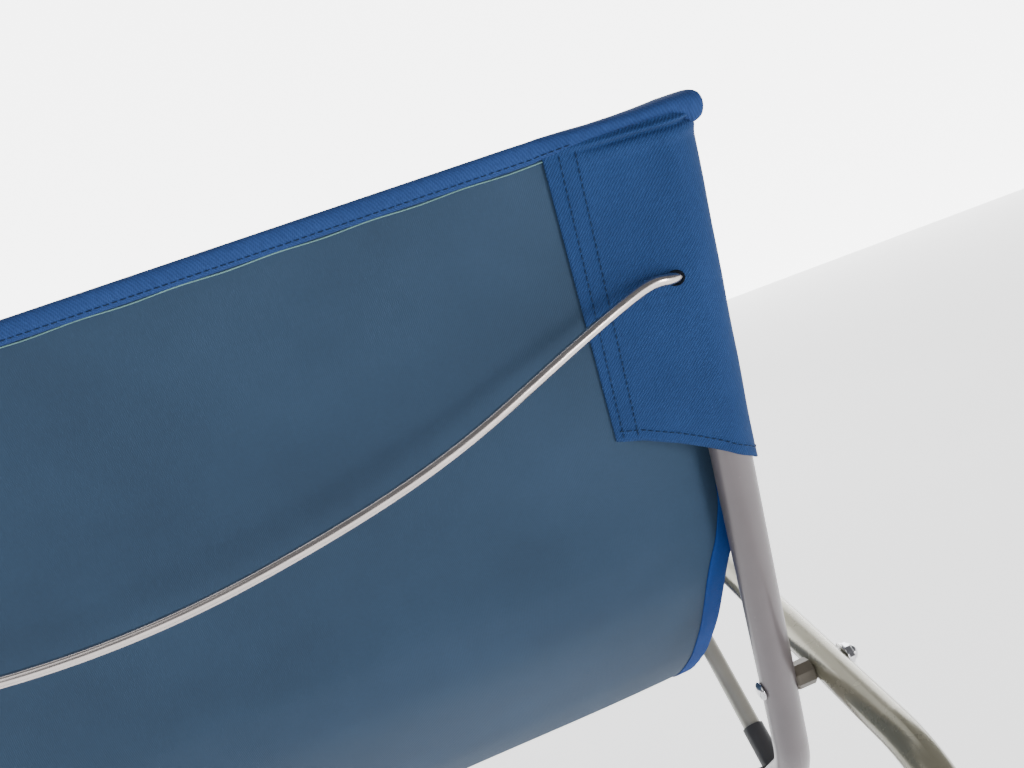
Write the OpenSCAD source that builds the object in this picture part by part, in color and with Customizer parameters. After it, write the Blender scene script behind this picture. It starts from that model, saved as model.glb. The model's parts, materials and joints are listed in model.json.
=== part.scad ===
// Low folding beach chair: two crossed side frames, a hammock sling and a
// sprung back rod. Front faces -Y, back faces +Y, feet stand on Z = 0.

/* [Frame] */
// Outer diameter of the main tubes
tube_d = 19; // [18:0.5:20]
// Wall thickness of the main tubes
tube_wall = 1.2; // [1:0.1:1.5]
// Sideways distance from the chair's middle to a back post's axis
half_w = 262; // [240:1:280]
// Height of the side pivots above the ground
pivot_h = 225; // [215:1:235]
// Recline of the back from vertical, degrees
recline = 20; // [18:0.5:22]
// Rise of the seat rails towards the front, degrees
seat_rise = 14.5; // [13:0.5:16]
// Bend between the straight part of a leg and its foot, degrees
leg_bend = 35; // [32:0.5:36]
// Length of a back post above the pivot
post_len = 295; // [288:1:302]
// Distance from the pivot to the seat's front tube
seat_len = 350; // [340:1:360]

/* [Pivots] */
// Diameter of the side pivot bolts
pivot_bolt_d = 6; // [5:0.5:7]
// Length of the bush between the crossed tubes
spacer_len = 10; // [9:0.5:11]
// Outer diameter of that bush
spacer_d = 13; // [12:0.5:14]
// Radial running clearance of bolts in their holes
run_gap = 0.05; // [0.03:0.01:0.1]

/* [Stays] */
// Outer diameter of the side stays
stay_d = 12; // [11:0.5:12]
// Distance of the stay pivot from the side pivot, along the seat rail
stay_at = 260; // [255:1:265]

/* [Back rod] */
// Diameter of the sprung back rod
rod_d = 5; // [4:0.5:6]
// Height of the rod's ends above the pivot, along the post
rod_at = 235; // [225:1:240]

/* [Sling] */
// Thickness of the sling cloth with its lining
cloth = 2.4; // [2:0.1:3]
// Width of the pocket panels that wrap the posts
pocket_w = 50; // [45:1:52]
// Height of the hem along the top
hem_h = 10; // [8:1:12]

/* [Hidden] */
$fn = 64;

rt = tube_d / 2;
ri = rt - tube_wall;
rs = stay_d / 2;
pad_t = 2.5;
foot_z = rt + pad_t - pivot_h;            // floor tube axis below the pivot
rail_s = tube_d + spacer_len;             // seat rail outboard of the post
stay_s = rs + 6;                          // stay outboard of the post
bend_r = 60;
corner_r = 36;
post_knee = 60;                           // pivot to the leg's corner point
rail_knee = 75;
arm_floor = 66;                           // arms of the foot tubes
arm_seat = 58;
spigot = 24;
pivot_y = 49.6;                           // centres the chair's length on Y = 0

post_dir = -90 + recline;                 // down along the back post
leg_dir = post_dir + leg_bend;
rail_dir = 180 + seat_rise;               // back along the seat rail
rear_dir = rail_dir + leg_bend;

function polar(a, r) = [r * cos(a), r * sin(a)];
function along(p, a, r) = p + polar(a, r);
// in the post's own frame: u forward of its axis, v up along it
function uv(u, v) = [u * cos(recline) - v * sin(recline), u * sin(recline) + v * cos(recline)];

knee_a = polar(post_dir, post_knee);
len_a = (foot_z - knee_a[1]) / sin(leg_dir);
foot_a = along(knee_a, leg_dir, len_a);
knee_b = polar(rail_dir, rail_knee);
len_b = (foot_z - knee_b[1]) / sin(rear_dir);
foot_b = along(knee_b, rear_dir, len_b);
trim = bend_r * tan(leg_bend / 2);

// stay: from its pivot on the rail down to the leg, square to the leg but for a few degrees
stay_top = polar(seat_rise, stay_at);
stay_dir = 229;
stay_len = ((stay_top[0] - knee_a[0]) * sin(leg_dir) - (stay_top[1] - knee_a[1]) * cos(leg_dir))
           / (sin(stay_dir) * cos(leg_dir) - cos(stay_dir) * sin(leg_dir));
rod_in = 35;                              // the rod leaves the post this far to the rear of inboard
foot_joint_a = along(foot_a, leg_dir + 180, arm_floor + 12);
foot_joint_b = along(foot_b, rear_dir + 180, arm_floor + 12);
seat_joint = polar(seat_rise, seat_len - arm_seat - 12);

// ---- placing ----
// side plane: local x forward, y up from the pivot, z outboard on the -X side
module side(s = 0) { translate([0, pivot_y, pivot_h]) rotate([90, 0, -90]) translate([0, 0, s]) children(); }
module both() { children(); mirror([1, 0, 0]) children(); }
module at(p, z = 0, a = 0) { translate([p[0], p[1], z]) rotate([0, 0, a]) children(); }
module rod_x(r, h) { rotate([0, 90, 0]) cylinder(r = r, h = h); }
// cross tubes: local x sideways, +y along the direction dir in the side plane, from point p
module cross(p, dir) { translate([0, pivot_y - p[0], pivot_h + p[1]]) rotate([180 - dir, 0, 0]) children(); }
// across the post at height v: local x forward of the post, y inboard, z up the post
module on_post(v) { side(half_w) at(uv(0, v), 0, recline) rotate([-90, 0, 0]) children(); }

// tube along x from x = 0, open at both ends
module pipe(h) { difference() { rod_x(rt, h); translate([-1, 0, 0]) rod_x(ri, h + 2); } }
// straight tube, bend to the left, straight tube; the bend reaches 1 degree into each straight
module bent(l1, l2) {
    pipe(l1);
    translate([l1, bend_r, 0]) rotate([0, 0, -91]) difference() {
        rotate_extrude(angle = leg_bend + 2) translate([bend_r, 0]) circle(rt - 0.03);
        rotate([0, 0, -3]) rotate_extrude(angle = leg_bend + 8) translate([bend_r, 0]) circle(ri + 0.03);
    }
    translate([l1, bend_r, 0]) rotate([0, 0, leg_bend]) translate([0, -bend_r, 0]) pipe(l2);
}
// bar along x with an arm along +y at each end
module u_solid(r, hw, arm) {
    translate([-(hw - corner_r), 0, 0]) rod_x(r, 2 * (hw - corner_r));
    for (m = [0, 1]) mirror([m, 0, 0]) {
        translate([hw - corner_r, corner_r, 0]) rotate([0, 0, -90])
            rotate_extrude(angle = 90) translate([corner_r, 0]) circle(r);
        translate([hw, corner_r, 0]) rotate([-90, 0, 0]) cylinder(r = r, h = arm - corner_r);
    }
}
module u_tube(hw, arm) {
    difference() {
        union() {
            u_solid(rt, hw, arm);
            for (m = [0, 1]) mirror([m, 0, 0]) translate([hw, arm - 8, 0])
                rotate([-90, 0, 0]) cylinder(r = ri - 0.05, h = spigot + 8);
        }
        u_solid(ri - 1.2, hw, arm + spigot + 1);
        for (m = [0, 1]) mirror([m, 0, 0]) translate([hw, arm + 12, 0])
            rotate([0, 90, 0]) cylinder(r = 2.05, h = 40, center = true);
    }
}
module rivet() {
    cylinder(r = 2, h = 2 * rt + 0.2, center = true);
    for (m = [0, 1]) mirror([0, 0, m]) translate([0, 0, rt + 0.1])
        rotate_extrude() polygon([[0, -1], [1.9, -1], [1.9, 0], [3.6, 0], [3.3, 0.8], [2.4, 1.4], [0, 1.7]]);
}
module u_rivets(hw, arm) {
    for (m = [0, 1]) mirror([m, 0, 0]) translate([hw, arm + 12, 0]) rotate([0, 90, 0]) rivet();
}
// low domed head standing on z = 0
module dome(r, h) {
    rotate_extrude() polygon([[0, 0], [r, 0], [r, 0.25 * h], [0.86 * r, 0.62 * h], [0.55 * r, 0.9 * h], [0, h]]);
}
module ring(ro, ri_, h) { difference() { cylinder(r = ro, h = h); translate([0, 0, -1]) cylinder(r = ri_, h = h + 2); } }

// ---- back frame ----
module back_leg() {
    l1 = post_len + post_knee - trim;
    l2 = len_a - trim - arm_floor;
    color([0.58, 0.57, 0.59]) side(half_w) difference() {
        at(polar(post_dir + 180, post_len), 0, post_dir) bent(l1, l2);
        cylinder(r = pivot_bolt_d / 2 + run_gap, h = 60, center = true);
        // hole for the end of the back rod: inboard and a little to the rear
        at(uv(0, rod_at + 1), 0, recline) rotate([0, 180 + rod_in, 0]) cylinder(r = 4.05, h = 30);
        translate(concat(foot_joint_a, [0])) cylinder(r = 2.05, h = 40, center = true);
    }
}
module right_back_leg() back_leg();
module left_back_leg() mirror([1, 0, 0]) back_leg();
module front_foot_tube() color([0.58, 0.57, 0.59]) cross(foot_a, leg_dir + 180) u_tube(half_w, arm_floor);
module front_joint_rivets() color([0.75, 0.75, 0.76]) cross(foot_a, leg_dir + 180) u_rivets(half_w, arm_floor);

module pads(p, x) {
    color([0.16, 0.16, 0.17]) both() translate([-x, pivot_y - p[0], pivot_h + p[1]]) difference() {
        translate([-20, 0, 0]) rod_x(rt + 3.4, 40);
        translate([-21, 0, 0]) rod_x(rt, 42);
        translate([0, 0, -rt - pad_t - 10]) cube([60, 60, 20], center = true);
    }
}
module front_foot_pads() pads(foot_a, half_w - 62);
module rear_foot_pads() pads(foot_b, half_w + rail_s - 62);

module post_caps() color([0.16, 0.16, 0.17]) both() on_post(post_len) {
    rotate_extrude() polygon([[0, -14], [ri - 0.05, -14], [ri - 0.05, 0], [rt, 0], [rt, 1.6], [rt - 2, 3.2], [rt - 5, 4], [0, 4]]);
}

// Route of the back rod on one side: inboard of the post, forward of it, up it
rod_route = [[2, -1.5, 236], [7, -5, 236], [12, -8.5, 236.5], [17, -9.5, 238], [21, -9.5, 238.5],
    [25, -9, 238], [30, -8.5, 236.5], [36, -9, 233.5], [57, -12.5, 227.5], [72, -15.5, 222.5],
    [87, -18.5, 217.5], [100, -21.5, 212], [121, -25.5, 205], [143, -28.5, 200], [174, -31.5, 195],
    [200, -33.5, 192], [230, -35, 189]];
function rod_pt(q, m) = let (w = uv(q[1], q[2] - 236 + rod_at + 1))
    [m * (half_w - q[0]), pivot_y - w[0], pivot_h + w[1]];
rod_keys = concat([for (q = rod_route) rod_pt(q, -1)], [rod_pt([half_w, -35.5, 188], -1)],
    [for (i = [len(rod_route) - 1 : -1 : 0]) rod_pt(rod_route[i], 1)]);
// smooth curve through the keys
function cr(p, q, r, s, t) = 0.5 * (2 * q + (r - p) * t + (2 * p - 5 * q + 4 * r - s) * t * t
    + (3 * q - p - 3 * r + s) * t * t * t);
function smooth(k, n) = let (m = len(k) - 1) concat([for (i = [0 : m - 1]) for (j = [0 : n - 1])
    cr(k[max(i - 1, 0)], k[i], k[i + 1], k[min(i + 2, m)], j / n)], [k[m]]);
function unit(v) = v / norm(v);
function vcross(a, b) = [a[1] * b[2] - a[2] * b[1], a[2] * b[0] - a[0] * b[2], a[0] * b[1] - a[1] * b[0]];
module sweep(pts, r, n) {
    m = len(pts) - 1;
    up = [0, sin(recline), cos(recline)];
    rings = [for (i = [0 : m]) let (t = unit(pts[min(i + 1, m)] - pts[max(i - 1, 0)]),
        a = unit(vcross(t, up)), b = vcross(a, t))
        for (j = [0 : n - 1]) pts[i] + r * (cos(360 * j / n) * a + sin(360 * j / n) * b)];
    polyhedron(rings, concat([[for (j = [n - 1 : -1 : 0]) j]], [[for (j = [0 : n - 1]) m * n + j]],
        [for (i = [0 : m - 1]) for (j = [0 : n - 1])
            [i * n + j, i * n + (j + 1) % n, (i + 1) * n + (j + 1) % n, (i + 1) * n + j]]), convexity = 4);
}
module back_rod() color([0.78, 0.77, 0.76]) sweep(smooth(rod_keys, 2), rod_d / 2, 12);
module rod_grommets() color([0.12, 0.12, 0.13]) both()
    side(half_w) at(uv(0, rod_at + 1), 0, recline) rotate([0, 180 + rod_in, 0]) translate([0, 0, rt - 2.2])
        difference() {
            union() { cylinder(r = 4, h = 3); translate([0, 0, 2.25]) cylinder(r = 4, h = 1.1); }
            translate([0, 0, -1]) cylinder(r = rod_d / 2 + 0.3, h = 6);
        }

module pivot_bolts() color([0.75, 0.75, 0.76]) both() side(half_w) {
    translate([0, 0, -rt - 0.6]) cylinder(r = pivot_bolt_d / 2, h = rail_s + 2 * rt + 6.1);
    translate([0, 0, -rt - 0.1]) rotate([180, 0, 0]) dome(4.6, 2.8);
}
module pivot_spacers() color([0.62, 0.58, 0.53]) both() side(half_w) difference() {
    translate([0, 0, rt - 3]) cylinder(r = spacer_d / 2, h = spacer_len + 2.8);
    translate([0, 0, rt - 4]) cylinder(r = pivot_bolt_d / 2 + run_gap, h = 40);
    rotate([0, 0, 90 + recline]) translate([-50, 0, 0]) rod_x(rt + 0.02, 100);
}
module pivot_washers() color([0.75, 0.75, 0.76]) both() side(half_w + rail_s + rt + 0.1) ring(6.5, pivot_bolt_d / 2 + run_gap, 1.1);
module pivot_nuts() color([0.75, 0.75, 0.76]) both() side(half_w + rail_s + rt + 1.2) difference() {
    union() {
        cylinder(r = 5.6, h = 3.4, $fn = 6);
        translate([0, 0, 3.4]) dome(4.5, 3.6);
    }
    translate([0, 0, -1]) cylinder(r = pivot_bolt_d / 2, h = 5.4);
}

// ---- sling on the back frame ----
// hammock line in the side plane, from below the pockets to the front tube
sling_route = [[-40, 130], [-33, 104], [-11, 71], [18, 45], [56, 16], [90, -7], [142, -36], [180, -50],
    [212, -54], [246, -45], [278, -20], [306, 25], [330, 76.5]];
sling_split = 5;
sling_hw = half_w - 16;
function slice(k, a, b) = [for (i = [a : b]) k[i]];
function off(k, d) = let (m = len(k) - 1) [for (i = [0 : m]) let (t = unit(k[min(i + 1, m)] - k[max(i - 1, 0)]))
    k[i] + d * [-t[1], t[0]]];
function band(k, t) = let (a = off(k, t / 2), b = off(k, -t / 2)) concat(a, [for (i = [len(b) - 1 : -1 : 0]) b[i]]);
hammock = smooth(sling_route, 3);
blue = [0.17, 0.33, 0.56];
slate = [0.24, 0.33, 0.41];
module back_sling() color(slate) {
    side() at([0, 0], 0, recline) translate([6, 136, -(half_w - pocket_w - 0.3)])
        cube([cloth, post_len + 1 - 136, 2 * (half_w - pocket_w - 0.3)]);
    side() translate([0, 0, -sling_hw]) linear_extrude(2 * sling_hw)
        polygon(band(concat([uv(6 + cloth / 2, 136)], slice(hammock, 1, sling_split * 3)), cloth));
}
module pocket() color(blue) difference() {
    on_post(100) linear_extrude(post_len + 1 - 100) difference() {
        hull() { circle(rt + 2.1); translate([7, pocket_w - 1.2]) circle(1.2); }
        hull() { circle(rt + 0.3); translate([6, pocket_w - 18]) circle(0.4); }
    }
    // lower edge, higher on the inboard side
    on_post(0) rotate([0, 0, 0]) translate([-60, -20, 137 - 200]) multmatrix([[1, 0, 0, 0], [0, 1, 0, 0], [0, 0.5, 1, -6], [0, 0, 0, 1]])
        cube([120, 100, 200]);
    side(half_w) at(uv(0, rod_at + 1), 0, recline) rotate([0, 180 + rod_in, 0]) cylinder(r = 4.3, h = 30);
}
module right_pocket() pocket();
module left_pocket() mirror([1, 0, 0]) pocket();
module top_hem() color(blue) difference() {
    union() {
        side() at([0, 0], 0, recline) translate([4.6, post_len + 1, -(half_w - 5)]) cube([5.2, hem_h, 2 * (half_w - 5)]);
        both() on_post(post_len + 1) cylinder(r = rt + 2.6, h = hem_h - 1);
    }
    both() on_post(post_len - 1) cylinder(r = rt + 0.3, h = 6.4);
}

// ---- seat frame ----
module seat_leg() {
    l1 = seat_len - arm_seat + rail_knee - trim;
    l2 = len_b - trim - arm_floor;
    color([0.62, 0.62, 0.58]) side(half_w + rail_s) difference() {
        at(polar(seat_rise, seat_len - arm_seat), 0, rail_dir) bent(l1, l2);
        cylinder(r = pivot_bolt_d / 2 + run_gap, h = 60, center = true);
        translate(concat(stay_top, [0])) cylinder(r = 2.5 + run_gap, h = 60, center = true);
        translate(concat(foot_joint_b, [0])) cylinder(r = 2.05, h = 40, center = true);
        translate(concat(seat_joint, [0])) cylinder(r = 2.05, h = 40, center = true);
    }
}
module right_seat_leg() seat_leg();
module left_seat_leg() mirror([1, 0, 0]) seat_leg();
module rear_foot_tube() color([0.62, 0.62, 0.58]) cross(foot_b, rear_dir - 180) u_tube(half_w + rail_s, arm_floor);
module rear_joint_rivets() color([0.75, 0.75, 0.76]) cross(foot_b, rear_dir - 180) u_rivets(half_w + rail_s, arm_floor);
module seat_front_tube() color([0.62, 0.62, 0.58]) cross(polar(seat_rise, seat_len), rail_dir) u_tube(half_w + rail_s, arm_seat);
module seat_joint_rivets() color([0.75, 0.75, 0.76]) cross(polar(seat_rise, seat_len), rail_dir) u_rivets(half_w + rail_s, arm_seat);

module stay_bolts() color([0.75, 0.75, 0.76]) both() side(half_w) at(stay_top) {
    translate([0, 0, stay_s + 2.8]) cylinder(r = 2.5, h = rail_s + rt + 5.2 - stay_s - 2.8);
    translate([0, 0, stay_s + 3.1]) rotate([180, 0, 0]) dome(4.4, 2.4);
}
module stay_washers() color([0.75, 0.75, 0.76]) both() side(half_w) at(stay_top) {
    translate([0, 0, stay_s + 6.3]) ring(6, 2.5 + run_gap, 1.1);
    translate([0, 0, rail_s + rt + 0.05]) ring(5.5, 2.5 + run_gap, 1);
}
module stay_nuts() color([0.75, 0.75, 0.76]) both() side(half_w + rail_s + rt + 1.1) at(stay_top) difference() {
    union() {
        cylinder(r = 4.7, h = 2.8, $fn = 6);
        translate([0, 0, 2.8]) dome(3.9, 3);
    }
    translate([0, 0, -1]) cylinder(r = 2.5, h = 5.2);
}
module seat_sling() color(slate) side() translate([0, 0, -sling_hw]) linear_extrude(2 * sling_hw) {
    n = sling_split * 3;
    first = hammock[n] + 1.5 * unit(hammock[n + 1] - hammock[n]);    // a gap where the two halves meet
    polygon(band(concat([first], slice(hammock, n + 1, len(hammock) - 1)), cloth));
}
module front_pocket() color(blue) side() at(polar(seat_rise, seat_len)) translate([0, 0, -sling_hw])
    ring(rt + 2.3, rt + 0.2, 2 * sling_hw);

// ---- stays ----
module stay_tube() color([0.55, 0.54, 0.5]) side(half_w) at(stay_top, stay_s, stay_dir) difference() {
    union() {
        translate([17, 0, 0]) rod_x(rs, stay_len - 17 - 16);
        translate([0, 0, 3.2]) cylinder(r = 7, h = 3);
        translate([0, -7, 3.2]) cube([19, 14, 3]);
    }
    translate([30, 0, 0]) rod_x(rs - 1, stay_len);
    cylinder(r = 2.5 + run_gap, h = 40, center = true);
}
module right_stay_tube() stay_tube();
module left_stay_tube() mirror([1, 0, 0]) stay_tube();
module stay_clip() color([0.16, 0.16, 0.17]) side(half_w) at(along(stay_top, stay_dir, stay_len), 0, leg_dir) difference() {
    union() {
        translate([-12, 0, 0]) rod_x(rt + 3, 24);
        translate([0, 0, stay_s]) rotate([0, 0, stay_dir - 180 - leg_dir]) rod_x(rs + 1.2, 38);
    }
    translate([-20, 0, 0]) rod_x(rt + 0.3, 40);
    translate([-30, -60, -30]) cube([60, 60, 60]);
    translate([0, 0, stay_s]) rotate([0, 0, stay_dir - 180 - leg_dir]) translate([15.9, 0, 0]) rod_x(rs + 0.02, 40);
}
module right_stay_clip() stay_clip();
module left_stay_clip() mirror([1, 0, 0]) stay_clip();

right_back_leg();
left_back_leg();
front_foot_tube();
front_foot_pads();
front_joint_rivets();
post_caps();
back_rod();
rod_grommets();
pivot_bolts();
pivot_spacers();
pivot_washers();
pivot_nuts();
back_sling();
right_pocket();
left_pocket();
top_hem();
right_seat_leg();
left_seat_leg();
rear_foot_tube();
rear_foot_pads();
rear_joint_rivets();
seat_front_tube();
seat_joint_rivets();
stay_bolts();
stay_washers();
stay_nuts();
seat_sling();
front_pocket();
right_stay_tube();
right_stay_clip();
left_stay_tube();
left_stay_clip();
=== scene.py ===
import bpy
import json
import math
import numpy as np
from mathutils import Matrix, Vector


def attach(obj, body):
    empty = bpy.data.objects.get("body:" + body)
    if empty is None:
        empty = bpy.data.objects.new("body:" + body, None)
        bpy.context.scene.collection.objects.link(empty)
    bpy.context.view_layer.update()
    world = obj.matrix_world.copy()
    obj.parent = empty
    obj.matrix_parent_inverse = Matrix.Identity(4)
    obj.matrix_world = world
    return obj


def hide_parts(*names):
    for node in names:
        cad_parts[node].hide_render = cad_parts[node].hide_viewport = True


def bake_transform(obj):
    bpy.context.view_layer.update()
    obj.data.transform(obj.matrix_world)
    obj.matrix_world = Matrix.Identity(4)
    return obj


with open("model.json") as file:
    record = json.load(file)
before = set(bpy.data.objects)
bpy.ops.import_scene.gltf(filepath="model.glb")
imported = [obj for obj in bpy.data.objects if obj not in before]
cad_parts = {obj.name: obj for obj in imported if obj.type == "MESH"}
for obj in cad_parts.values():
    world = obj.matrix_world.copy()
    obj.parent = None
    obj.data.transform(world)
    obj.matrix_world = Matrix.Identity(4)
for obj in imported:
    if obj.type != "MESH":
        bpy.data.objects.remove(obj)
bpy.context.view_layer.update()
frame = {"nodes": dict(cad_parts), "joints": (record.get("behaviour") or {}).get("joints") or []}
nodes = frame["nodes"]
PY, PZ = [j for j in frame["joints"] if j["name"] == "seat_fold"][0]["pos_m"][1:]
HALF = 262.0
REC = math.radians(20)
CR, SR = math.cos(REC), math.sin(REC)
RT = 9.5


# ---------------------------------------------------------------- places
def uv(u, v):
    return u * CR - v * SR, u * SR + v * CR


def W(x, F, Z):
    return np.array([x / 1000.0, PY - F / 1000.0, PZ + Z / 1000.0])


def post(m, e, u, v):
    """A point by its distance inboard of a post, forward of it and up it; m is -1 or 1."""
    F, Z = uv(u, v)
    return W(m * (HALF - e), F, Z)


def cat(keys, n):
    """Catmull-Rom curve through the keys."""
    k = np.array(keys, float)
    out = []
    for i in range(len(k) - 1):
        p, q, r, s = k[max(i - 1, 0)], k[i], k[i + 1], k[min(i + 2, len(k) - 1)]
        for j in range(n):
            t = j / n
            out.append(0.5 * (2 * q + (r - p) * t + (2 * p - 5 * q + 4 * r - s) * t * t
                              + (3 * q - p - 3 * r + s) * t ** 3))
    out.append(k[-1])
    return np.array(out)


def resample(c, n):
    d = np.r_[0, np.cumsum(np.linalg.norm(np.diff(c, axis=0), axis=1))]
    t = np.linspace(0, d[-1], n)
    return np.stack([np.interp(t, d, c[:, i]) for i in range(c.shape[1])], 1), t


def wob(*a):
    """Smooth repeatable waviness between -1 and 1."""
    s = 0
    for i, x in enumerate(a):
        s = s + np.sin(x * (1 + 0.37 * i) + 1.3 * i) * np.cos(0.61 * x + 2.1 * i)
    return s / max(1, len(a))


# ---------------------------------------------------------------- meshes
def mesh(name, verts, faces, uvs=None, mats=(), idx=None, smooth=True):
    me = bpy.data.meshes.new(name)
    me.from_pydata([tuple(v) for v in verts], [], [tuple(f) for f in faces])
    if uvs is not None:
        lay = me.uv_layers.new(name="cloth")
        vi = np.zeros(len(me.loops), int)
        me.loops.foreach_get("vertex_index", vi)
        lay.data.foreach_set("uv", np.asarray(uvs, float)[vi].ravel())
    for m in mats:
        me.materials.append(m)
    if idx is not None:
        me.polygons.foreach_set("material_index", list(idx))
    me.polygons.foreach_set("use_smooth", [smooth] * len(me.polygons))
    me.update()
    o = bpy.data.objects.new(name, me)
    bpy.context.scene.collection.objects.link(o)
    return o


def shell(name, A, B, U, mats, wrap=False, side=(0, 1, 2)):
    """Closed thin sheet between grids A and B (rows, columns, 3); U is the cloth's own coordinates, mm."""
    n, k = A.shape[:2]
    verts = np.concatenate([A.reshape(-1, 3), B.reshape(-1, 3)])
    uvs = np.concatenate([U.reshape(-1, 2)] * 2)
    N = n * k
    faces, idx = [], []
    cols = k if wrap else k - 1
    for i in range(n - 1):
        for j in range(cols):
            a, b, c, d = i * k + j, i * k + (j + 1) % k, (i + 1) * k + (j + 1) % k, (i + 1) * k + j
            faces.append((a, b, c, d))
            idx.append(side[0])
            faces.append((N + a, N + d, N + c, N + b))
            idx.append(side[1])
    for j in range(cols):
        a, b = j, (j + 1) % k
        faces.append((a, N + a, N + b, b))
        a, b = (n - 1) * k + j, (n - 1) * k + (j + 1) % k
        faces.append((b, N + b, N + a, a))
        idx += [side[2]] * 2
    if not wrap:
        for i in range(n - 1):
            a, b = i * k, (i + 1) * k
            faces.append((a, b, N + b, N + a))
            a, b = i * k + k - 1, (i + 1) * k + k - 1
            faces.append((b, a, N + a, N + b))
            idx += [side[2]] * 2
    o = mesh(name, verts, faces, uvs, mats, idx)
    fix(o)
    return o


def fix(o):
    """Face directions outward."""
    import bmesh
    bm = bmesh.new()
    bm.from_mesh(o.data)
    bmesh.ops.recalc_face_normals(bm, faces=bm.faces)
    bm.to_mesh(o.data)
    bm.free()


def tube(name, pts, r, mats, n=24, up=(0, SR, CR), cap=True, squash=None):
    """Swept round bar; pts in metres, r in metres or one per point."""
    pts = np.array(pts, float)
    m = len(pts)
    r = np.full(m, r) if np.isscalar(r) else np.array(r)
    t = np.gradient(pts, axis=0)
    t /= np.linalg.norm(t, axis=1)[:, None]
    ref = np.array(up, float)
    ang = np.arange(n) * 2 * math.pi / n
    rings = []
    a = None
    for i in range(m):
        if a is None:
            a = np.cross(t[i], ref)
        else:
            a = a - t[i] * (a @ t[i])
        a = a / np.linalg.norm(a)
        b = np.cross(a, t[i])
        rings.append(pts[i] + r[i] * (np.cos(ang)[:, None] * a + np.sin(ang)[:, None] * b))
    verts = np.concatenate(rings)
    d = np.r_[0, np.cumsum(np.linalg.norm(np.diff(pts, axis=0), axis=1))] * 1000
    uvs = np.stack([np.repeat(d, n), np.tile(ang * 3.0, m)], 1)
    faces = []
    for i in range(m - 1):
        for j in range(n):
            k2 = (j + 1) % n
            faces.append((i * n + j, i * n + k2, (i + 1) * n + k2, (i + 1) * n + j))
    if cap:
        faces.append(tuple(range(n)))
        faces.append(tuple((m - 1) * n + j for j in range(n)))
    o = mesh(name, verts, faces, uvs, mats)
    fix(o)
    return o


def lathe(name, prof, origin, axis, mats, n=40, sharp=False, phase=0.0):
    """Turned or prismatic piece: prof is (distance along axis, radius), mm; origin in metres."""
    ax = Vector(axis).normalized()
    a = ax.orthogonal().normalized()
    if abs(ax.x) > 0.9:
        a = Vector((0, 1, 0))
    b = ax.cross(a)
    verts, faces = [], []
    for z, r in prof:
        for j in range(n):
            w = 2 * math.pi * j / n + phase
            p = Vector(origin) + ax * z / 1000 + (a * math.cos(w) + b * math.sin(w)) * r / 1000
            verts.append(tuple(p))
    m = len(prof)
    for i in range(m - 1):
        for j in range(n):
            k2 = (j + 1) % n
            faces.append((i * n + j, i * n + k2, (i + 1) * n + k2, (i + 1) * n + j))
    faces.append(tuple(range(n)))
    faces.append(tuple((m - 1) * n + j for j in range(n)))
    o = mesh(name, verts, faces, np.array([(v[1] * 1000, v[2] * 1000) for v in verts]), mats, smooth=not sharp)
    fix(o)
    return o


def join(objs, name):
    bpy.ops.object.select_all(action="DESELECT")
    for o in objs:
        o.select_set(True)
    bpy.context.view_layer.objects.active = objs[0]
    bpy.ops.object.join()
    objs[0].name = name
    objs[0].data.name = name
    return objs[0]


# ---------------------------------------------------------------- materials
class Mat:
    def __init__(self, name):
        self.m = bpy.data.materials.new(name)
        self.m.use_nodes = True
        self.nt = self.m.node_tree
        self.b = self.nt.nodes["Principled BSDF"]

    def n(self, kind, **kw):
        x = self.nt.nodes.new(kind)
        for k, v in kw.items():
            if k in x.inputs:
                x.inputs[k].default_value = v
            else:
                setattr(x, k, v)
        return x

    def l(self, a, b):
        self.nt.links.new(a, b)

    def set(self, **kw):
        for k, v in kw.items():
            self.b.inputs[k.replace("_", " ")].default_value = v

    def ramp(self, fac, stops):
        r = self.n("ShaderNodeValToRGB")
        el = r.color_ramp.elements
        el[0].position, el[0].color = stops[0][0], (*stops[0][1], 1)
        el[1].position, el[1].color = stops[-1][0], (*stops[-1][1], 1)
        for p, c in stops[1:-1]:
            e = el.new(p)
            e.color = (*c, 1)
        self.l(fac, r.inputs[0])
        return r.outputs[0]

    def math(self, op, a, b=None, c=None):
        x = self.n("ShaderNodeMath", operation=op)
        for i, v in enumerate((a, b, c)):
            if v is None:
                continue
            if hasattr(v, "links"):
                self.l(v, x.inputs[i])
            else:
                x.inputs[i].default_value = v
        return x.outputs[0]

    def mul(self, col, fac, amount):
        """col times (1 - amount + 2 * amount * fac)"""
        g = self.math("MULTIPLY_ADD", fac, 2 * amount, 1 - amount)
        x = self.n("ShaderNodeVectorMath", operation="SCALE")
        self.l(col, x.inputs[0])
        self.l(g, x.inputs["Scale"])
        return x.outputs[0]


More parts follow.
